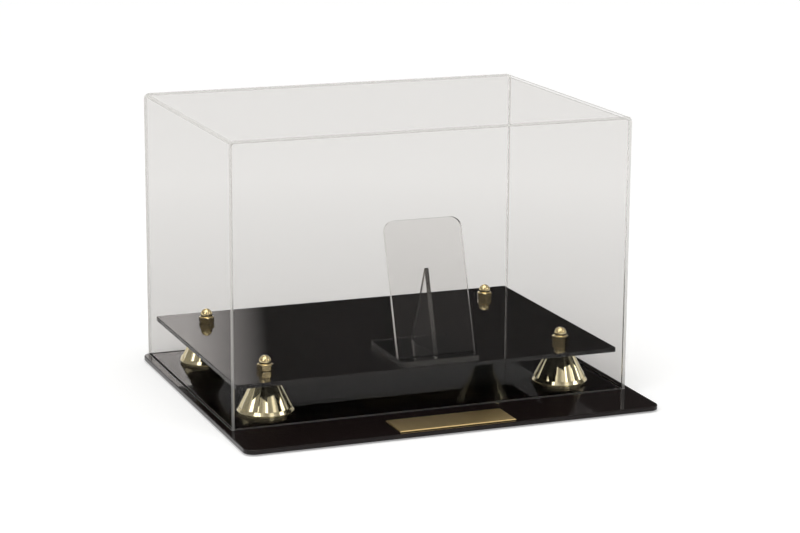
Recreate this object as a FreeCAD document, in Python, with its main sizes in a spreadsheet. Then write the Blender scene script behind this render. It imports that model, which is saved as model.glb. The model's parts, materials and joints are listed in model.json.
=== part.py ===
import FreeCAD, Part
import os
import Sketcher

# Clear display case on a two-tier black base: millimetres, +Z up, front towards -Y,
# origin on the table under the middle of the base board.

doc = FreeCAD.newDocument("display_case")
sheet = doc.addObject("Spreadsheet::Sheet", "Sizes")

driving = {
    # cover
    "cover_width": 457,
    "cover_depth": 325,
    "cover_height": 307,
    "sheet_thickness": 3.2,
    "bend_inside": 3.2,
    "glue_gap": 0.05,
    # base board and its feet
    "side_margin": 7.5,
    "front_apron": 74,
    "back_margin": 2,
    "board_thickness": 4.8,
    "board_corner": 12,
    "board_edge": 1,
    "foot_height": 2,
    "foot_diameter": 12.7,
    "foot_edge": 1,
    "foot_inset": 26,
    # deck
    "deck_gap": 4.6,
    "deck_thickness": 4.8,
    "deck_corner": 3,
    "deck_edge": 0.5,
    # risers
    "riser_height": 41.4,
    "riser_inset": 47,
    "riser_base_diameter": 60.4,
    "riser_base_height": 1.6,
    "groove_diameter": 58.4,
    "groove_height": 0.6,
    "bead_diameter": 62,
    "bead_wall": 0.8,
    "bead_rise": 2.2,
    "bead_run": 1.2,
    "bead_round": 0.35,
    "cone_foot_diameter": 59,
    "cone_top_diameter": 22,
    "flute_count": 16,
    "flute_share": 0.91,
    "flute_hollow": 0.6,
    "flute_land": 1.2,
    # screws
    "screw_diameter": 10,
    "screw_clearance": 0.25,
    "screw_tip": 1,
    "head_diameter": 16,
    "head_height": 3,
    "head_clearance": 0.3,
    "socket_flats": 6,
    "socket_depth": 2,
    # acorn nuts
    "nut_flats": 16,
    "nut_hex_height": 7.5,
    "nut_seat_inset": 0.6,
    "nut_seat_height": 0.6,
    "nut_slope_reach": 1.6,
    "nut_slope_angle": 30,
    "nut_turn_angle": 54,
    "nut_step_angle": 14,
    "dome_diameter": 13.2,
    "dome_straight": 2.1,
    "thread_reach": 9,
    "thread_clearance": 0.1,
    "tip_gap": 1,
    # name plate
    "plate_width": 132,
    "plate_depth": 43,
    "plate_thickness": 1.2,
    "plate_bevel": 0.8,
    "plate_front_gap": 5,
    "tape_thickness": 0.4,
    "tape_margin": 3,
    # easel
    "easel_width": 90,
    "easel_shift": 12,
    "easel_setback": 1.5,
    "easel_foot_depth": 100,
    "easel_foot_thickness": 6.4,
    "easel_foot_corner": 4,
    "ledge_depth": 14,
    "rest_length": 150,
    "rest_thickness": 4.8,
    "rest_lean_angle": 18,
    "rest_corner": 12,
    "gusset_height": 90,
    "gusset_depth": 66,
    "gusset_thickness": 4.8,
}
for row, (alias, value) in enumerate(driving.items(), start=1):
    sheet.set(f"A{row}", alias)
    sheet.set(f"B{row}", str(value))
    sheet.setAlias(f"B{row}", alias)
doc.recompute()

# Sizes and places that follow from the driving ones.
board_width = "(Sizes.cover_width + 2 * Sizes.side_margin)"
board_depth = "(Sizes.cover_depth + Sizes.front_apron + Sizes.back_margin)"
board_top = "(Sizes.foot_height + Sizes.board_thickness)"
cover_centre = "((Sizes.front_apron - Sizes.back_margin) / 2)"
inner_width = "(Sizes.cover_width - 2 * Sizes.sheet_thickness)"
inner_depth = "(Sizes.cover_depth - 2 * Sizes.sheet_thickness)"
inner_height = "(Sizes.cover_height - Sizes.sheet_thickness)"
deck_width = f"({inner_width} - 2 * Sizes.deck_gap)"
deck_depth = f"({inner_depth} - 2 * Sizes.deck_gap)"
deck_bottom = f"({board_top} + Sizes.riser_height)"
deck_top = f"({deck_bottom} + Sizes.deck_thickness)"
riser_x = f"({deck_width} / 2 - Sizes.riser_inset)"
riser_y = f"({deck_depth} / 2 - Sizes.riser_inset)"
shank_hole = "(Sizes.screw_diameter / 2 + Sizes.screw_clearance)"
head_hole = "(Sizes.head_diameter / 2 + Sizes.head_clearance)"
easel_front = f"({cover_centre} - {deck_depth} / 2 + Sizes.easel_setback)"
easel_top = f"({deck_top} + Sizes.easel_foot_thickness)"

corners = {
    "front_left": (-1, -1),
    "front_right": (1, -1),
    "back_left": (-1, 1),
    "back_right": (1, 1),
}
bodies = []
along_y = FreeCAD.Vector(0, 1, 0)
along_z = FreeCAD.Vector(0, 0, 1)
# How far from exact an edge may lie and still count as found, in millimetres and as a cosine.
near = 0.001
nearly_parallel = 0.999


def number(expression):
    return float(sheet.evalExpression(expression))


def new_body(label, x, y, z):
    body = doc.addObject("PartDesign::Body", label)
    body.Label = label
    body.setExpression("Placement.Base.x", x)
    body.setExpression("Placement.Base.y", y)
    body.setExpression("Placement.Base.z", z)
    bodies.append(body)
    return body


def origin_feature(body, role):
    for feature in body.Origin.OriginFeatures:
        if feature.Role == role:
            return feature


def new_sketch(body, name, role, offset="0"):
    sketch = body.newObject("Sketcher::SketchObject", name)
    sketch.AttachmentSupport = (origin_feature(body, role), "")
    sketch.MapMode = "FlatFace"
    sketch.setExpression("AttachmentOffset.Base.z", offset)
    return sketch


def bind(sketch, kind, geometry, point, expression):
    rule = Sketcher.Constraint(kind, -1, 1, geometry, point, number(expression))
    index = sketch.addConstraint(rule)
    sketch.setExpression(f"Constraints[{index}]", expression)


# A closed outline through corners given as expressions. The side after a corner listed in
# arcs is a quarter circle, counter-clockwise, about the centre given there.
def outline(sketch, points, arcs=None):
    arcs = arcs or {}
    first = sketch.GeometryCount
    places = [FreeCAD.Vector(number(x), number(y), 0) for x, y in points]
    for index, start in enumerate(places):
        end = places[(index + 1) % len(places)]
        side = Part.LineSegment(start, end)
        if index in arcs:
            middle = FreeCAD.Vector(number(arcs[index][0]), number(arcs[index][1]), 0)
            ring = Part.Circle(middle, along_z, start.distanceToPoint(middle))
            side = Part.ArcOfCircle(ring, ring.parameter(start), ring.parameter(end))
        sketch.addGeometry(side, False)
    for index in range(len(points)):
        following = first + (index + 1) % len(points)
        sketch.addConstraint(Sketcher.Constraint("Coincident", first + index, 2, following, 1))
    for index, (x, y) in enumerate(points):
        bind(sketch, "DistanceX", first + index, 1, x)
        bind(sketch, "DistanceY", first + index, 1, y)
    for index, (x, y) in arcs.items():
        bind(sketch, "DistanceX", first + index, 3, x)


def rectangle(sketch, width, depth):
    right = f"{width} / 2"
    back = f"{depth} / 2"
    outline(sketch, [(f"-{right}", f"-{back}"), (right, f"-{back}"), (right, back), (f"-{right}", back)])


def hexagon(sketch, flats):
    corner = f"({flats} / sqrt(3))"
    half = f"({corner} / 2)"
    side = f"({flats} / 2)"
    outline(sketch, [
        (corner, "0"), (half, side), (f"-{half}", side),
        (f"-{corner}", "0"), (f"-{half}", f"-{side}"), (half, f"-{side}"),
    ])


def circle(sketch, x, y, radius):
    middle = FreeCAD.Vector(number(x), number(y), 0)
    ring = sketch.addGeometry(Part.Circle(middle, along_z, number(radius)), False)
    bind(sketch, "DistanceX", ring, 3, x)
    bind(sketch, "DistanceY", ring, 3, y)
    index = sketch.addConstraint(Sketcher.Constraint("Radius", ring, number(radius)))
    sketch.setExpression(f"Constraints[{index}]", radius)


def pad(body, sketch, length, name="Pad"):
    feature = body.newObject("PartDesign::Pad", name)
    feature.Profile = sketch
    feature.setExpression("Length", length)
    doc.recompute()
    return feature


# Cuts to the sketch's front, into the solid that stands on it.
def pocket(body, sketch, depth, name="Pocket"):
    before = body.Shape.Volume
    feature = body.newObject("PartDesign::Pocket", name)
    feature.Profile = sketch
    feature.Reversed = True
    feature.setExpression("Length", depth)
    doc.recompute()
    if not body.Shape.Volume < before:
        raise RuntimeError(f"{name} of {body.Label} cuts nothing")
    return feature


def revolve(body, sketch, kind="PartDesign::Revolution", name="Revolution"):
    feature = body.newObject(kind, name)
    feature.Profile = sketch
    feature.ReferenceAxis = (sketch, ["V_Axis"])
    feature.Angle = 360
    doc.recompute()
    return feature


def edges_along(feature, direction):
    names = []
    for index, edge in enumerate(feature.Shape.Edges, start=1):
        straight = isinstance(edge.Curve, Part.Line)
        if straight and abs(edge.tangentAt(edge.FirstParameter).dot(direction)) > nearly_parallel:
            names.append(f"Edge{index}")
    return names


def edges_at_height(feature, height):
    names = []
    for index, edge in enumerate(feature.Shape.Edges, start=1):
        box = edge.BoundBox
        if abs(box.ZMin - height) < near and abs(box.ZMax - height) < near:
            names.append(f"Edge{index}")
    return names


def fillet(body, feature, names, radius, name="Fillet"):
    rounding = body.newObject("PartDesign::Fillet", name)
    rounding.Base = (feature, names)
    rounding.setExpression("Radius", radius)
    doc.recompute()
    return rounding


def chamfer(body, feature, names, size, name="Chamfer"):
    bevel = body.newObject("PartDesign::Chamfer", name)
    bevel.Base = (feature, names)
    bevel.setExpression("Size", size)
    doc.recompute()
    return bevel


# Base board: rounded corners, rounded top edge, screw holes counterbored from below.
def make_base_board():
    body = new_body("base_board", "0", "0", "Sizes.foot_height")
    plan = new_sketch(body, "BoardPlan", "XY_Plane")
    rectangle(plan, board_width, board_depth)
    blank = pad(body, plan, "Sizes.board_thickness")
    rounded = fillet(body, blank, edges_along(blank, along_z), "Sizes.board_corner", "CornerFillet")
    rim = edges_at_height(rounded, number("Sizes.board_thickness"))
    fillet(body, rounded, rim, "Sizes.board_edge", "EdgeFillet")
    shanks = new_sketch(body, "ShankHoles", "XY_Plane")
    heads = new_sketch(body, "HeadHoles", "XY_Plane")
    for across, back in corners.values():
        x = f"{across} * {riser_x}"
        y = f"{cover_centre} + {back} * {riser_y}"
        circle(shanks, x, y, shank_hole)
        circle(heads, x, y, head_hole)
    pocket(body, shanks, "Sizes.board_thickness", "ShankPocket")
    pocket(body, heads, "Sizes.head_height", "HeadPocket")


def make_rubber_foot(place, across, back):
    x = f"{across} * ({board_width} / 2 - Sizes.foot_inset)"
    y = f"{back} * ({board_depth} / 2 - Sizes.foot_inset)"
    body = new_body(f"rubber_foot_{place}", x, y, "0")
    plan = new_sketch(body, "FootPlan", "XY_Plane")
    circle(plan, "0", "0", "Sizes.foot_diameter / 2")
    blank = pad(body, plan, "Sizes.foot_height")
    fillet(body, blank, edges_at_height(blank, 0), "Sizes.foot_edge")


# Riser: a cone on a rim of two rings with a groove between. Each flute is a slimmer cone with the
# same apex, so flutes and lands narrow together towards the top.
def make_riser(place, across, back):
    x = f"{across} * {riser_x}"
    y = f"{cover_centre} + {back} * {riser_y}"
    body = new_body(f"riser_{place}", x, y, board_top)
    base_radius = "(Sizes.riser_base_diameter / 2)"
    bead_radius = "(Sizes.bead_diameter / 2)"
    cone_radius = "(Sizes.cone_foot_diameter / 2)"
    top_radius = "(Sizes.cone_top_diameter / 2)"
    groove_radius = "(Sizes.groove_diameter / 2)"
    groove_top = "(Sizes.riser_base_height + Sizes.groove_height)"
    bead_shoulder = f"({groove_top} + Sizes.bead_wall)"
    bead_top = f"({bead_shoulder} + Sizes.bead_rise)"
    profile = new_sketch(body, "RiserProfile", "XZ_Plane")
    outline(profile, [
        (shank_hole, "0"), (base_radius, "0"), (base_radius, "Sizes.riser_base_height"),
        (groove_radius, "Sizes.riser_base_height"), (groove_radius, groove_top),
        (bead_radius, groove_top), (bead_radius, bead_shoulder),
        (f"{bead_radius} - Sizes.bead_run", bead_top), (cone_radius, bead_top),
        (top_radius, "Sizes.riser_height"), (shank_hole, "Sizes.riser_height"),
    ])
    turned = revolve(body, profile)
    bead_edges = []
    for index, edge in enumerate(turned.Shape.Edges, start=1):
        is_ring = isinstance(edge.Curve, Part.Circle)
        if is_ring and abs(edge.Curve.Radius - number(bead_radius)) < near:
            bead_edges.append(f"Edge{index}")
    fillet(body, turned, bead_edges, "Sizes.bead_round", "BeadFillet")

    flute_foot = f"({bead_top} + Sizes.flute_land)"
    taper = f"(({cone_radius} - {top_radius}) / (Sizes.riser_height - {bead_top}))"
    foot_radius = f"({cone_radius} - Sizes.flute_land * {taper})"
    half_angle = "(180 deg / Sizes.flute_count * Sizes.flute_share)"
    half_width = f"({foot_radius} * sin({half_angle}))"
    flute_radius = f"({half_width} ^ 2 / (2 * Sizes.flute_hollow) + Sizes.flute_hollow / 2)"
    flute_reach = f"({foot_radius} * cos({half_angle}) - Sizes.flute_hollow + {flute_radius})"
    shrink = f"({top_radius} / {foot_radius})"
    low = new_sketch(body, "FluteLow", "XY_Plane", flute_foot)
    circle(low, flute_reach, "0", flute_radius)
    high = new_sketch(body, "FluteHigh", "XY_Plane", "Sizes.riser_height")
    circle(high, f"{flute_reach} * {shrink}", "0", f"{flute_radius} * {shrink}")
    flute = body.newObject("PartDesign::SubtractiveLoft", "Flute")
    flute.Profile = low
    flute.Sections = [high]
    flute.Ruled = True
    doc.recompute()
    flutes = body.newObject("PartDesign::PolarPattern", "Flutes")
    flutes.Originals = [flute]
    flutes.Axis = (origin_feature(body, "Z_Axis"), [""])
    flutes.Angle = 360
    flutes.setExpression("Occurrences", "Sizes.flute_count")
    body.Tip = flutes
    doc.recompute()


# Screw: head let into the board, shank up through riser and deck into the cap nut.
def make_riser_screw(place, across, back):
    x = f"{across} * {riser_x}"
    y = f"{cover_centre} + {back} * {riser_y}"
    body = new_body(f"riser_screw_{place}", x, y, "Sizes.foot_height")
    shank = "(Sizes.screw_diameter / 2)"
    head = "(Sizes.head_diameter / 2)"
    length = f"({deck_top} - Sizes.foot_height + Sizes.thread_reach)"
    profile = new_sketch(body, "ScrewProfile", "XZ_Plane")
    outline(profile, [
        ("0", "0"), (head, "0"), (head, "Sizes.head_height"), (shank, "Sizes.head_height"),
        (shank, f"{length} - Sizes.screw_tip"), (f"{shank} - Sizes.screw_tip", length), ("0", length),
    ])
    revolve(body, profile)
    socket = new_sketch(body, "Socket", "XY_Plane")
    hexagon(socket, "Sizes.socket_flats")
    pocket(body, socket, "Sizes.socket_depth")


# Acorn nut: hexagon on a round seat, sloped corners above and below, domed cap, blind bore.
def make_acorn_nut(place, across, back, order):
    x = f"{across} * {riser_x}"
    y = f"{cover_centre} + {back} * {riser_y}"
    body = new_body(f"acorn_nut_{place}", x, y, deck_top)
    body.Placement.Rotation = FreeCAD.Rotation(along_z, number("Sizes.nut_turn_angle"))
    body.setExpression("Placement.Rotation.Angle", f"Sizes.nut_turn_angle - {order} * Sizes.nut_step_angle")
    plan = new_sketch(body, "NutPlan", "XY_Plane")
    hexagon(plan, "Sizes.nut_flats")
    pad(body, plan, "Sizes.nut_hex_height")

    flat = "(Sizes.nut_flats / 2)"
    seat = f"({flat} - Sizes.nut_seat_inset)"
    dome = "(Sizes.dome_diameter / 2)"
    outside = f"({flat} + Sizes.nut_slope_reach)"
    slope = "tan(Sizes.nut_slope_angle * 1 deg)"
    slopes = new_sketch(body, "CornerSlopes", "XZ_Plane")
    outline(slopes, [
        (seat, "0"), (outside, "0"), (outside, f"Sizes.nut_seat_height + Sizes.nut_slope_reach * {slope}"),
        (flat, "Sizes.nut_seat_height"), (seat, "Sizes.nut_seat_height"),
    ])
    outline(slopes, [
        (dome, "Sizes.nut_hex_height"), (outside, f"Sizes.nut_hex_height - ({outside} - {dome}) * {slope}"),
        (outside, "Sizes.nut_hex_height"),
    ])
    revolve(body, slopes, "PartDesign::Groove", "CornerGroove")

    spring = "(Sizes.nut_hex_height + Sizes.dome_straight)"
    cap = new_sketch(body, "DomeProfile", "XZ_Plane")
    outline(cap, [
        ("0", "Sizes.nut_hex_height"), (dome, "Sizes.nut_hex_height"),
        (dome, spring), ("0", f"{spring} + {dome}"),
    ], arcs={2: ("0", spring)})
    revolve(body, cap, name="Dome")
    bore = new_sketch(body, "Bore", "XY_Plane")
    circle(bore, "0", "0", "Sizes.screw_diameter / 2 + Sizes.thread_clearance")
    pocket(body, bore, "Sizes.thread_reach + Sizes.tip_gap")


def make_deck():
    body = new_body("deck", "0", cover_centre, deck_bottom)
    plan = new_sketch(body, "DeckPlan", "XY_Plane")
    rectangle(plan, deck_width, deck_depth)
    blank = pad(body, plan, "Sizes.deck_thickness")
    rounded = fillet(body, blank, edges_along(blank, along_z), "Sizes.deck_corner", "CornerFillet")
    rim = edges_at_height(rounded, number("Sizes.deck_thickness"))
    chamfer(body, rounded, rim, "Sizes.deck_edge", "EdgeChamfer")
    holes = new_sketch(body, "ShankHoles", "XY_Plane")
    for across, back in corners.values():
        circle(holes, f"{across} * {riser_x}", f"{back} * {riser_y}", shank_hole)
    pocket(body, holes, "Sizes.deck_thickness")


# Name plate with bevelled edges on its tape, near the front edge of the board.
def make_name_plate():
    y = f"-{board_depth} / 2 + Sizes.plate_front_gap + Sizes.plate_depth / 2"
    tape = new_body("name_plate_tape", "0", y, board_top)
    strip = new_sketch(tape, "TapePlan", "XY_Plane")
    tape_width = "(Sizes.plate_width - 2 * Sizes.tape_margin)"
    tape_depth = "(Sizes.plate_depth - 2 * Sizes.tape_margin)"
    rectangle(strip, tape_width, tape_depth)
    pad(tape, strip, "Sizes.tape_thickness")
    plate = new_body("name_plate", "0", y, f"{board_top} + Sizes.tape_thickness")
    plan = new_sketch(plate, "PlatePlan", "XY_Plane")
    rectangle(plan, "Sizes.plate_width", "Sizes.plate_depth")
    blank = pad(plate, plan, "Sizes.plate_thickness")
    chamfer(plate, blank, edges_at_height(blank, number("Sizes.plate_thickness")), "Sizes.plate_bevel")


# Cover: one sheet bent twice into left wall, top and right wall, with flat panels glued between
# the walls, flush with the sheet's front and back edges.
def make_cover():
    back_face = f"({cover_centre} + Sizes.cover_depth / 2)"
    wrap = new_body("cover_wrap", "0", back_face, board_top)
    outer = "(Sizes.cover_width / 2)"
    inner = f"({inner_width} / 2)"
    arch = new_sketch(wrap, "WrapProfile", "XZ_Plane")
    outline(arch, [
        (f"-{outer}", "0"), (f"-{inner}", "0"), (f"-{inner}", inner_height), (inner, inner_height),
        (inner, "0"), (outer, "0"), (outer, "Sizes.cover_height"), (f"-{outer}", "Sizes.cover_height"),
    ])
    blank = pad(wrap, arch, "Sizes.cover_depth")
    top = number("Sizes.cover_height")
    under = number(inner_height)
    lengthwise = set(edges_along(blank, along_y))
    outside = [name for name in edges_at_height(blank, top) if name in lengthwise]
    bent = fillet(wrap, blank, outside, "Sizes.bend_inside + Sizes.sheet_thickness", "OuterBend")
    lengthwise = set(edges_along(bent, along_y))
    inside = [name for name in edges_at_height(bent, under) if name in lengthwise]
    fillet(wrap, bent, inside, "Sizes.bend_inside", "InnerBend")

    front_face = f"({cover_centre} - Sizes.cover_depth / 2 + Sizes.sheet_thickness)"
    for label, face in (("cover_front_panel", front_face), ("cover_back_panel", back_face)):
        panel = new_body(label, "0", face, board_top)
        half = f"({inner_width} / 2 - Sizes.glue_gap)"
        height = f"({inner_height} - Sizes.glue_gap)"
        front = new_sketch(panel, "PanelOutline", "XZ_Plane")
        outline(front, [(f"-{half}", "0"), (half, "0"), (half, height), (f"-{half}", height)])
        sheet_blank = pad(panel, front, "Sizes.sheet_thickness")
        lengthwise = set(edges_along(sheet_blank, along_y))
        shoulders = [name for name in edges_at_height(sheet_blank, number(height)) if name in lengthwise]
        fillet(panel, sheet_blank, shoulders, "Sizes.bend_inside - Sizes.glue_gap")


# Easel: a foot plate on the deck, a rest that leans back from it and a web behind the rest.
def make_easel():
    foot_middle = f"{easel_front} + Sizes.easel_foot_depth / 2"
    foot = new_body("easel_foot", "Sizes.easel_shift", foot_middle, deck_top)
    plan = new_sketch(foot, "FootPlan", "XY_Plane")
    rectangle(plan, "Sizes.easel_width", "Sizes.easel_foot_depth")
    blank = pad(foot, plan, "Sizes.easel_foot_thickness")
    fillet(foot, blank, edges_along(blank, along_z), "Sizes.easel_foot_corner")

    lean = "(Sizes.rest_lean_angle * 1 deg)"
    slab = f"(Sizes.rest_thickness / cos({lean}))"
    rise = f"(Sizes.rest_length * cos({lean}))"
    run = f"(Sizes.rest_length * sin({lean}))"
    left = "Sizes.easel_shift - Sizes.easel_width / 2"
    rest = new_body("easel_back_rest", left, f"{easel_front} + Sizes.ledge_depth", easel_top)
    side = new_sketch(rest, "RestSide", "YZ_Plane")
    outline(side, [
        ("0", "0"), (slab, "0"),
        (f"{run} + Sizes.rest_thickness * cos({lean})", f"{rise} - Sizes.rest_thickness * sin({lean})"),
        (run, rise),
    ])
    board = pad(rest, side, "Sizes.easel_width")
    through = FreeCAD.Vector(0, number(f"cos({lean})"), -number(f"sin({lean})"))
    fillet(rest, board, edges_along(board, through), "Sizes.rest_corner")

    web_left = "Sizes.easel_shift - Sizes.gusset_thickness / 2"
    gusset = new_body("easel_gusset", web_left, f"{easel_front} + Sizes.ledge_depth + {slab}", easel_top)
    web = new_sketch(gusset, "GussetSide", "YZ_Plane")
    outline(web, [
        ("0", "0"), ("Sizes.gusset_depth", "0"),
        (f"Sizes.gusset_height * tan({lean})", "Sizes.gusset_height"),
    ])
    pad(gusset, web, "Sizes.gusset_thickness")


make_base_board()
make_deck()
for order, (place, (across, back)) in enumerate(corners.items()):
    make_rubber_foot(place, across, back)
    make_riser(place, across, back)
    make_riser_screw(place, across, back)
    make_acorn_nut(place, across, back, order)
make_name_plate()
make_cover()
make_easel()
doc.recompute()

for item in doc.Objects:
    if "Invalid" in item.State or "Error" in item.State:
        raise RuntimeError(f"{item.Label} failed: {item.State}")
for body in bodies:
    if body.Shape.isNull() or not body.Shape.isValid() or len(body.Shape.Solids) != 1:
        raise RuntimeError(f"{body.Label} is not one valid solid")

os.makedirs("parts", exist_ok=True)
for body in bodies:
    body.Shape.exportStep(f"parts/{body.Label}.step")
    print(f"{body.Label}: {body.Shape.Volume / 1000:.2f} cm3")
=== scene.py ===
import json
import math

import bmesh
import bpy
from mathutils import Matrix, Vector


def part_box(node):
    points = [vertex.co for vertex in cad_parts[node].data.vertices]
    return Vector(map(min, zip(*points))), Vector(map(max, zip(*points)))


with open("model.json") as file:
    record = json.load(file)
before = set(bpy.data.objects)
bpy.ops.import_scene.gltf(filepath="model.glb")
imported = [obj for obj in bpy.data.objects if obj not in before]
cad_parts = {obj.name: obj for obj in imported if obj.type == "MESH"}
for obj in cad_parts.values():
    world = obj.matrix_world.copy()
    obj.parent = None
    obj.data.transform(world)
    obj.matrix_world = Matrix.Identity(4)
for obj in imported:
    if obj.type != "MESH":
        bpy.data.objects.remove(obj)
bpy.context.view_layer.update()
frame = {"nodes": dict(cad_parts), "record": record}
scene = bpy.context.scene
mm = 0.001
white = (1, 1, 1, 1)
print("frame loaded,", len(frame["nodes"]), "nodes")


def hexToLinear(code):
    channels = []
    for start in (0, 2, 4):
        value = int(code[start:start + 2], 16) / 255
        channels.append(value / 12.92 if value <= 0.04045 else ((value + 0.055) / 1.055) ** 2.4)
    return (channels[0], channels[1], channels[2], 1.0)


# a setting is the node's own property where it has one of that name, or else the value of an input
def addNode(tree, kind, settings=None, links=None):
    node = tree.nodes.new(kind)
    for key, value in (settings or {}).items():
        if isinstance(key, str) and hasattr(node, key):
            setattr(node, key, value)
        else:
            node.inputs[key].default_value = value
    for socket, source in (links or {}).items():
        tree.links.new(source, node.inputs[socket])
    return node


def newMaterial(name):
    material = bpy.data.materials.new(name)
    material.use_nodes = True
    tree = material.node_tree
    tree.nodes.clear()
    return material, tree


# a pattern's scale, from its real size
def perMetre(sizeMm):
    return 1000 / sizeMm


# cast acrylic sheet, black: a mirror gloss with a faint film of handling marks and a little lint
def castBlackAcrylic(label, colour, ior):
    spec = {"smudgeMm": 70, "smudgeDetail": 5.0, "smudgeFrom": 0.45, "smudgeTo": 0.8,
            "roughLow": 0.0, "roughHigh": 0.03,
            "lintMm": 9, "lintCore": 0.03, "lintRim": 0.06, "lintColour": "2A2624"}
    material, tree = newMaterial("cast acrylic, black, mirror gloss, " + label)
    place = addNode(tree, "ShaderNodeTexCoord")
    smudge = addNode(tree, "ShaderNodeTexNoise",
                     {"Scale": perMetre(spec["smudgeMm"]), "Detail": spec["smudgeDetail"]},
                     {"Vector": place.outputs["Object"]})
    rough = addNode(tree, "ShaderNodeMapRange",
                    {"From Min": spec["smudgeFrom"], "From Max": spec["smudgeTo"],
                     "To Min": spec["roughLow"], "To Max": spec["roughHigh"]},
                    {"Value": smudge.outputs["Fac"]})
    specks = addNode(tree, "ShaderNodeTexVoronoi", {"Scale": perMetre(spec["lintMm"])},
                     {"Vector": place.outputs["Object"]})
    lint = addNode(tree, "ShaderNodeMapRange",
                   {"From Min": spec["lintCore"], "From Max": spec["lintRim"], "To Min": 1.0, "To Max": 0.0},
                   {"Value": specks.outputs["Distance"]})
    tone = addNode(tree, "ShaderNodeMix",
                   {"data_type": "RGBA", 6: hexToLinear(colour), 7: hexToLinear(spec["lintColour"])},
                   {0: lint.outputs["Result"]})
    shader = addNode(tree, "ShaderNodeBsdfPrincipled", {"IOR": ior},
                     {"Base Color": tone.outputs[2], "Roughness": rough.outputs["Result"]})
    addNode(tree, "ShaderNodeOutputMaterial", links={"Surface": shader.outputs[0]})
    return material


# cast acrylic sheet, clear: glass-clear faces, scraped edges that catch a soft grey light, a matt sawn foot
# axis is square to the faces of a flat sheet, and runs along the bends of a bent one
def castClearAcrylic(label, axis, ior, edgeClear, footShare=0.0, bent=False):
    spec = {"colour": "F3F2F1", "edgeColour": "E2E1DD", "edgeRough": 0.25, "edgeFacing": 0.6,
            "bendShare": 0.7, "bendFacing": 0.42, "footMm": 0.4}
    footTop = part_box("cover_wrap")[0][2] + spec["footMm"] * mm
    material, tree = newMaterial("cast acrylic, clear, polished, " + label)
    shape = addNode(tree, "ShaderNodeNewGeometry")
    facing = addNode(tree, "ShaderNodeVectorMath", {"operation": "DOT_PRODUCT", 1: axis},
                     {0: shape.outputs["True Normal"]})
    square = addNode(tree, "ShaderNodeMath", {"operation": "ABSOLUTE"}, {0: facing.outputs["Value"]})
    edge = addNode(tree, "ShaderNodeMath",
                   {"operation": "GREATER_THAN" if bent else "LESS_THAN", 1: spec["edgeFacing"]},
                   {0: square.outputs[0]})
    place = addNode(tree, "ShaderNodeTexCoord")
    split = addNode(tree, "ShaderNodeSeparateXYZ", links={0: place.outputs["Object"]})
    foot = addNode(tree, "ShaderNodeMath", {"operation": "LESS_THAN", 1: footTop}, {0: split.outputs["Z"]})
    sawn = addNode(tree, "ShaderNodeMath", {"operation": "MULTIPLY", 1: footShare}, {0: foot.outputs[0]})
    haze = addNode(tree, "ShaderNodeMath", {"operation": "MAXIMUM"}, {0: edge.outputs[0], 1: sawn.outputs[0]})
    if bent:  # the heat-bent corners are a little hazy too
        turned = addNode(tree, "ShaderNodeSeparateXYZ", links={0: shape.outputs["True Normal"]})
        slant = addNode(tree, "ShaderNodeMath", {"operation": "MULTIPLY"},
                        {0: turned.outputs["X"], 1: turned.outputs["Z"]})
        curve = addNode(tree, "ShaderNodeMath", {"operation": "ABSOLUTE"}, {0: slant.outputs[0]})
        bend = addNode(tree, "ShaderNodeMath", {"operation": "GREATER_THAN", 1: spec["bendFacing"]},
                       {0: curve.outputs[0]})
        bendHaze = addNode(tree, "ShaderNodeMath", {"operation": "MULTIPLY", 1: spec["bendShare"]},
                           {0: bend.outputs[0]})
        haze = addNode(tree, "ShaderNodeMath", {"operation": "MAXIMUM"},
                       {0: haze.outputs[0], 1: bendHaze.outputs[0]})
    colour = addNode(tree, "ShaderNodeMix",
                     {"data_type": "RGBA", 6: hexToLinear(spec["colour"]),
                      7: hexToLinear(spec["edgeColour"])},
                     {0: haze.outputs[0]})
    rough = addNode(tree, "ShaderNodeMath", {"operation": "MULTIPLY", 1: spec["edgeRough"]},
                    {0: haze.outputs[0]})
    clear = addNode(tree, "ShaderNodeMapRange", {"clamp": False, "To Min": 1.0, "To Max": edgeClear},
                    {"Value": haze.outputs[0]})
    shader = addNode(tree, "ShaderNodeBsdfPrincipled", {"IOR": ior},
                     {"Base Color": colour.outputs[2], "Roughness": rough.outputs[0],
                      "Transmission Weight": clear.outputs["Result"]})
    addNode(tree, "ShaderNodeOutputMaterial", links={"Surface": shader.outputs[0]})
    return material


# moulded plastic with a vacuum-metallised gold coat: mirror bright, faintly wavy down the cone
def metallisedGold():
    spec = {"colour": "E8DFB8", "metal": 0.93, "roughness": 0.06,
            "waveMm": 2.5, "waveRun": 8, "waveDetail": 2.0, "bumpStrength": 0.12, "bumpMm": 0.2}
    material, tree = newMaterial("moulded plastic, vacuum-metallised gold")
    place = addNode(tree, "ShaderNodeTexCoord")
    along = addNode(tree, "ShaderNodeMapping", {"Scale": (1.0, 1.0, 1 / spec["waveRun"])},
                    {"Vector": place.outputs["Object"]})
    wave = addNode(tree, "ShaderNodeTexNoise",
                   {"Scale": perMetre(spec["waveMm"]), "Detail": spec["waveDetail"]},
                   {"Vector": along.outputs["Vector"]})
    bump = addNode(tree, "ShaderNodeBump",
                   {"Strength": spec["bumpStrength"], "Distance": spec["bumpMm"] * mm},
                   {"Height": wave.outputs["Fac"]})
    shader = addNode(tree, "ShaderNodeBsdfPrincipled",
                     {"Base Color": hexToLinear(spec["colour"]), "Metallic": spec["metal"],
                      "Roughness": spec["roughness"]},
                     {"Normal": bump.outputs["Normal"]})
    addNode(tree, "ShaderNodeOutputMaterial", links={"Surface": shader.outputs[0]})
    return material


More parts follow.
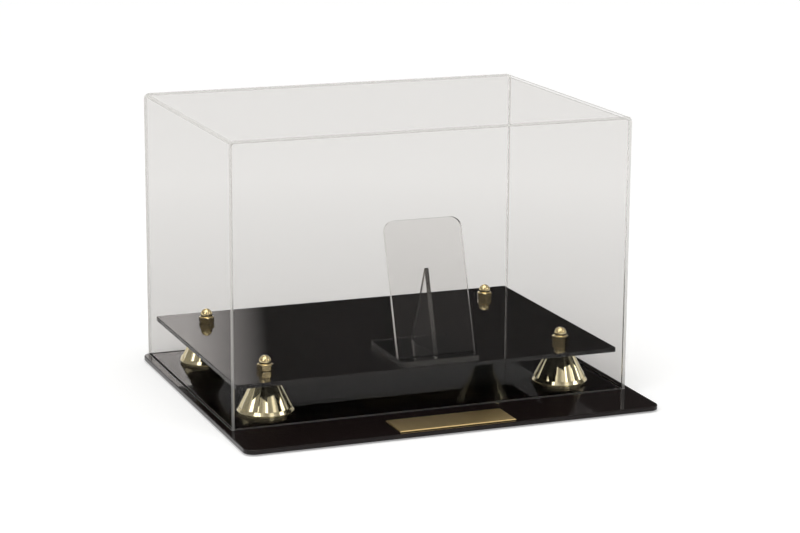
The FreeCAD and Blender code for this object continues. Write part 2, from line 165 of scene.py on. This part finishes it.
# turned brass, plated and tumbled: bright with soft corners; the tumbling is drawn coarser, so that it shows
def platedBrass():
    spec = {"colour": "DFCE9E", "roughness": 0.08, "spread": 0.04, "tumbleMm": 1.2, "tumbleDetail": 3.0}
    material, tree = newMaterial("turned brass, bright plated")
    place = addNode(tree, "ShaderNodeTexCoord")
    tumble = addNode(tree, "ShaderNodeTexNoise",
                     {"Scale": perMetre(spec["tumbleMm"]), "Detail": spec["tumbleDetail"]},
                     {"Vector": place.outputs["Object"]})
    rough = addNode(tree, "ShaderNodeMapRange",
                    {"To Min": spec["roughness"] - spec["spread"],
                     "To Max": spec["roughness"] + spec["spread"]},
                    {"Value": tumble.outputs["Fac"]})
    shader = addNode(tree, "ShaderNodeBsdfPrincipled",
                     {"Base Color": hexToLinear(spec["colour"]), "Metallic": 1.0},
                     {"Roughness": rough.outputs["Result"]})
    addNode(tree, "ShaderNodeOutputMaterial", links={"Surface": shader.outputs[0]})
    return material


# rolled brass sheet, lacquered: a soft sheen with a grain along its length, drawn coarser so that it shows
def lacqueredBrass():
    spec = {"colour": "D6BD84", "roughness": 0.36, "spread": 0.06,
            "grainMm": 0.5, "grainRun": 40, "grainDetail": 3.0}
    material, tree = newMaterial("rolled brass sheet, lacquered")
    place = addNode(tree, "ShaderNodeTexCoord")
    along = addNode(tree, "ShaderNodeMapping", {"Scale": (1 / spec["grainRun"], 1.0, 1.0)},
                    {"Vector": place.outputs["Object"]})
    grain = addNode(tree, "ShaderNodeTexNoise",
                    {"Scale": perMetre(spec["grainMm"]), "Detail": spec["grainDetail"]},
                    {"Vector": along.outputs["Vector"]})
    rough = addNode(tree, "ShaderNodeMapRange",
                    {"To Min": spec["roughness"] - spec["spread"],
                     "To Max": spec["roughness"] + spec["spread"]},
                    {"Value": grain.outputs["Fac"]})
    shader = addNode(tree, "ShaderNodeBsdfPrincipled",
                     {"Base Color": hexToLinear(spec["colour"]), "Metallic": 1.0},
                     {"Roughness": rough.outputs["Result"]})
    addNode(tree, "ShaderNodeOutputMaterial", links={"Surface": shader.outputs[0]})
    return material


# moulded rubber: matt black with a fine grain
def mouldedRubber():
    spec = {"colour": "1B1A1A", "roughness": 0.8, "grainMm": 0.4, "bumpStrength": 0.2, "bumpMm": 0.1}
    material, tree = newMaterial("moulded rubber, matt")
    place = addNode(tree, "ShaderNodeTexCoord")
    grain = addNode(tree, "ShaderNodeTexNoise", {"Scale": perMetre(spec["grainMm"])},
                    {"Vector": place.outputs["Object"]})
    bump = addNode(tree, "ShaderNodeBump",
                   {"Strength": spec["bumpStrength"], "Distance": spec["bumpMm"] * mm},
                   {"Height": grain.outputs["Fac"]})
    shader = addNode(tree, "ShaderNodeBsdfPrincipled",
                     {"Base Color": hexToLinear(spec["colour"]), "Roughness": spec["roughness"]},
                     {"Normal": bump.outputs["Normal"]})
    addNode(tree, "ShaderNodeOutputMaterial", links={"Surface": shader.outputs[0]})
    return material


# cold-headed steel, zinc plated: soft grey with a cloudy sheen
def zincSteel():
    spec = {"colour": "B9BBBD", "roughness": 0.35, "spread": 0.1, "cloudMm": 2}
    material, tree = newMaterial("cold-headed steel, zinc plated")
    place = addNode(tree, "ShaderNodeTexCoord")
    cloud = addNode(tree, "ShaderNodeTexNoise", {"Scale": perMetre(spec["cloudMm"])},
                    {"Vector": place.outputs["Object"]})
    rough = addNode(tree, "ShaderNodeMapRange",
                    {"To Min": spec["roughness"] - spec["spread"],
                     "To Max": spec["roughness"] + spec["spread"]},
                    {"Value": cloud.outputs["Fac"]})
    shader = addNode(tree, "ShaderNodeBsdfPrincipled",
                     {"Base Color": hexToLinear(spec["colour"]), "Metallic": 1.0},
                     {"Roughness": rough.outputs["Result"]})
    addNode(tree, "ShaderNodeOutputMaterial", links={"Surface": shader.outputs[0]})
    return material


# foam tape, die cut: matt black with fine cells
def foamTape():
    spec = {"colour": "141313", "roughness": 0.9, "cellMm": 0.3, "bumpStrength": 0.3, "bumpMm": 0.1}
    material, tree = newMaterial("foam tape, die cut")
    place = addNode(tree, "ShaderNodeTexCoord")
    cells = addNode(tree, "ShaderNodeTexVoronoi", {"Scale": perMetre(spec["cellMm"])},
                    {"Vector": place.outputs["Object"]})
    bump = addNode(tree, "ShaderNodeBump",
                   {"Strength": spec["bumpStrength"], "Distance": spec["bumpMm"] * mm},
                   {"Height": cells.outputs["Distance"]})
    shader = addNode(tree, "ShaderNodeBsdfPrincipled",
                     {"Base Color": hexToLinear(spec["colour"]), "Roughness": spec["roughness"]},
                     {"Normal": bump.outputs["Normal"]})
    addNode(tree, "ShaderNodeOutputMaterial", links={"Surface": shader.outputs[0]})
    return material


# acrylic's own IOR is 1.49: it is lower where the sheet has to mirror less of the white room
blackSheets = {
    "deck": {"label": "deck", "colour": "0F0B09", "ior": 1.49},
    # the board's black is lighter than the deck's: the sheet's own black with a painted reflection laid over
    # it
    "base_board": {"label": "board", "colour": "1A1413", "ior": 1.3},
}
easelLean = math.radians(18)
restAxis = (0, math.cos(easelLean), -math.sin(easelLean))
clearSheets = {
    "cover_wrap": {"label": "bent wrap", "axis": (0, 1, 0), "ior": 1.005, "edgeClear": 0.68,
                   "footShare": 2.0, "bent": True},
    "cover_front_panel": {"label": "front panel", "axis": (0, 1, 0), "ior": 1.1, "edgeClear": 0.93,
                          "footShare": 2.5},
    "cover_back_panel": {"label": "back panel", "axis": (0, 1, 0), "ior": 1.1, "edgeClear": 0.93,
                         "footShare": 2.5},
    "easel_foot": {"label": "easel foot", "axis": (0, 0, 1), "ior": 1.3, "edgeClear": 0.92},
    "easel_back_rest": {"label": "easel rest", "axis": restAxis, "ior": 1.3, "edgeClear": 0.92},
    "easel_gusset": {"label": "easel web", "axis": (1, 0, 0), "ior": 1.3, "edgeClear": 0.92},
}
finishes = {
    "black_acrylic": castBlackAcrylic(**blackSheets["deck"]),
    "gold_plated_plastic": metallisedGold(),
    "polished_brass": platedBrass(),
    "black_rubber": mouldedRubber(),
    "zinc_steel": zincSteel(),
    "mounting_tape": foamTape(),
}
ownFinishes = {
    "name_plate": lacqueredBrass(),
    "base_board": castBlackAcrylic(**blackSheets["base_board"]),
}
for name, sheet in clearSheets.items():
    ownFinishes[name] = castClearAcrylic(**sheet)
for part in frame["record"]["subparts"]:
    name = part["node"]
    node = frame["nodes"][name]
    node.data.materials.clear()
    node.data.materials.append(ownFinishes.get(name) or finishes[part["material_slot"]])
print("finishes on", len(frame["nodes"]), "nodes")


# camera: the photograph's place and lens, solved from the cover's edges
view = {"place": (-0.9384, -2.4278, 0.7487), "lens": 107.95, "turn": -21.31, "down": 13.23, "roll": 0.33,
        "clipEnd": 50}
cameraData = bpy.data.cameras.new("camera")
cameraData.lens = view["lens"]
cameraData.clip_end = view["clipEnd"]
camera = bpy.data.objects.new("camera", cameraData)
scene.collection.objects.link(camera)
turn = Matrix.Rotation(math.radians(view["turn"]), 3, "Z")
tilt = Matrix.Rotation(math.radians(90 - view["down"]), 3, "X")
roll = Matrix.Rotation(math.radians(view["roll"]), 3, "Z")
camera.location = view["place"]
camera.rotation_euler = (turn @ tilt @ roll).to_euler()
scene.camera = camera
print("camera set")


# floor: plain and pale, lifted to white for the eye and in mirrors, and less so where it is seen through
# the clear sheets close by, which is a painted shade around the case; it keeps the shadow
stage = {"floorHalf": 8.0, "floorColour": "E6E6E5", "floorRough": 0.9, "floorGloss": 0.0, "floorLift": 0.34,
         "liftNear": 0.1, "liftFar": 0.29, "nearReach": 0.4, "farReach": 1.2}
floorMesh = bmesh.new()
bmesh.ops.create_grid(floorMesh, x_segments=1, y_segments=1, size=stage["floorHalf"])
floorData = bpy.data.meshes.new("floor")
floorMesh.to_mesh(floorData)
floorMesh.free()
floor = bpy.data.objects.new("floor", floorData)
scene.collection.objects.link(floor)
floorMaterial, floorTree = newMaterial("studio floor, pale paper")
floorPath = addNode(floorTree, "ShaderNodeLightPath")
floorSeen = addNode(floorTree, "ShaderNodeMath", {"operation": "MAXIMUM"},
                    {0: floorPath.outputs["Is Camera Ray"], 1: floorPath.outputs["Is Glossy Ray"]})
floorOpen = addNode(floorTree, "ShaderNodeMath", {"operation": "MULTIPLY", 1: stage["floorLift"]},
                    {0: floorSeen.outputs[0]})
floorPlace = addNode(floorTree, "ShaderNodeTexCoord")
floorReach = addNode(floorTree, "ShaderNodeVectorMath", {"operation": "LENGTH"},
                     {0: floorPlace.outputs["Object"]})
# painted shade: the lift seen through the clear sheets drops close to the case, so the floor is darker around
# it
floorLiftPaintedShade = addNode(floorTree, "ShaderNodeMapRange",
                    {"From Min": stage["nearReach"], "From Max": stage["farReach"],
                     "To Min": stage["liftNear"], "To Max": stage["liftFar"]},
                    {"Value": floorReach.outputs["Value"]})
floorLift = addNode(floorTree, "ShaderNodeMix", {"data_type": "FLOAT"},
                    {0: floorPath.outputs["Is Transmission Ray"], 2: floorOpen.outputs[0],
                     3: floorLiftPaintedShade.outputs["Result"]})
floorShader = addNode(floorTree, "ShaderNodeBsdfPrincipled",
                      {"Base Color": hexToLinear(stage["floorColour"]), "Roughness": stage["floorRough"],
                       "Specular IOR Level": stage["floorGloss"], "Emission Color": white},
                      {"Emission Strength": floorLift.outputs[0]})
addNode(floorTree, "ShaderNodeOutputMaterial", links={"Surface": floorShader.outputs[0]})
floorData.materials.append(floorMaterial)
print("floor laid")


# room: white paper behind up to a low height, a dark wall above it on the right, a bright one on the left,
# a dim front and a pale ceiling in soft bands; heights are degrees above level
room = {"paper": 1.0, "dark": 0.04, "front": 0.4, "left": 1.65, "farLeft": 0.35, "ceiling": 0.7,
        "bands": 0.28, "bandCount": 9, "fill": 0.5, "tint": "F8F4F2",
        "heights": {"paperTop": 10.5, "darkFrom": 13.5, "darkTo": 19, "ceilingFrom": 32}}
height = {name: math.sin(math.radians(angle)) for name, angle in room["heights"].items()}
# each grade: along which axis, where it starts and ends, and its light at either end
grades = {
    "behind": ("Y", -0.2, 0.2, 0.0, 1.0),
    "paper": ("Z", height["paperTop"], height["darkFrom"], room["paper"], room["dark"]),
    "front": ("Y", 0.1, -0.5, 0.0, room["front"]),
    "left": ("X", 0.3, 0.268, 0.0, room["left"]),
    "leftLoss": ("X", 0.1, -0.05, 0.0, room["left"] - room["farLeft"]),
    "overhead": ("Z", height["darkTo"], height["ceilingFrom"], 0.0, 1.0),
}
# each join: what it makes, out of which two
joins = (
    ("ceiling", "MULTIPLY", "overhead", "bands"),
    ("backWall", "MULTIPLY", "paper", "behind"),
    ("frontAndBack", "MAXIMUM", "backWall", "front"),
    ("leftWall", "SUBTRACT", "left", "leftLoss"),
    ("walls", "MAXIMUM", "frontAndBack", "leftWall"),
    ("shell", "MAXIMUM", "walls", "ceiling"),
    ("mirrored", "MAXIMUM", "glossy", "transmitted"),
)
world = bpy.data.worlds.new("studio room")
scene.world = world
world.use_nodes = True
roomTree = world.node_tree
roomTree.nodes.clear()
roomPath = addNode(roomTree, "ShaderNodeLightPath")
roomPlace = addNode(roomTree, "ShaderNodeTexCoord")
roomSplit = addNode(roomTree, "ShaderNodeSeparateXYZ", links={0: roomPlace.outputs["Generated"]})
turns = addNode(roomTree, "ShaderNodeMath", {"operation": "MULTIPLY", 1: room["bandCount"]},
                {0: roomSplit.outputs["X"]})
wave = addNode(roomTree, "ShaderNodeMath", {"operation": "SINE"}, {0: turns.outputs[0]})
bands = addNode(roomTree, "ShaderNodeMath",
                {"operation": "MULTIPLY_ADD", 1: room["bands"], 2: room["ceiling"]}, {0: wave.outputs[0]})
light = {"bands": bands.outputs[0], "glossy": roomPath.outputs["Is Glossy Ray"],
         "transmitted": roomPath.outputs["Is Transmission Ray"]}
for name, (axis, start, end, startLight, endLight) in grades.items():
    ramp = addNode(roomTree, "ShaderNodeMapRange",
                   {"From Min": start, "From Max": end, "To Min": startLight, "To Max": endLight},
                   {"Value": roomSplit.outputs[axis]})
    light[name] = ramp.outputs["Result"]
for name, operation, first, second in joins:
    join = addNode(roomTree, "ShaderNodeMath", {"operation": operation}, {0: light[first], 1: light[second]})
    light[name] = join.outputs[0]
# mirrors and clear sheets see the shell, matt surfaces an even fill, and the eye plain white
roomSeen = addNode(roomTree, "ShaderNodeMix", {"data_type": "FLOAT", 2: room["fill"]},
                   {0: light["mirrored"], 3: light["shell"]})
strength = addNode(roomTree, "ShaderNodeMath", {"operation": "MAXIMUM"},
                   {0: roomSeen.outputs[0], 1: roomPath.outputs["Is Camera Ray"]})
roomTint = addNode(roomTree, "ShaderNodeMix",
                   {"data_type": "RGBA", 6: white, 7: hexToLinear(room["tint"])}, {0: light["glossy"]})
roomLight = addNode(roomTree, "ShaderNodeBackground",
                    links={"Color": roomTint.outputs[2], "Strength": strength.outputs[0]})
addNode(roomTree, "ShaderNodeOutputWorld", links={"Surface": roomLight.outputs[0]})
print("room set")


# lamps: a broad overhead light and two soft boxes
lamps = {
    "overhead": {"kind": "SUN", "place": (-0.6, -0.5, 3.0), "size": math.radians(50), "power": 1.1},
    "softBoxLeft": {"kind": "AREA", "place": (-1.8, -1.2, 1.3), "size": 1.0, "power": 8},
    "softBoxRight": {"kind": "AREA", "place": (1.9, -1.4, 1.2), "size": 0.8, "power": 6},
}
lampTarget = Vector((0, 0, 0.1))
for name, lamp in lamps.items():
    lampData = bpy.data.lights.new(name, lamp["kind"])
    if lamp["kind"] == "SUN":
        lampData.angle = lamp["size"]
    else:
        lampData.size = lamp["size"]
    lampData.energy = lamp["power"]
    lampObject = bpy.data.objects.new(name, lampData)
    lampObject.location = lamp["place"]
    aim = lampTarget - Vector(lamp["place"])
    lampObject.rotation_euler = aim.to_track_quat("-Z", "Y").to_euler()
    scene.collection.objects.link(lampObject)
print("lamps set")

# enough bounces to cross all the clear sheets and to go to and fro between the boards
lightBounces = 80
scene.cycles.max_bounces = lightBounces
scene.cycles.transmission_bounces = lightBounces
scene.cycles.glossy_bounces = lightBounces
scene.view_settings.view_transform = "Standard"
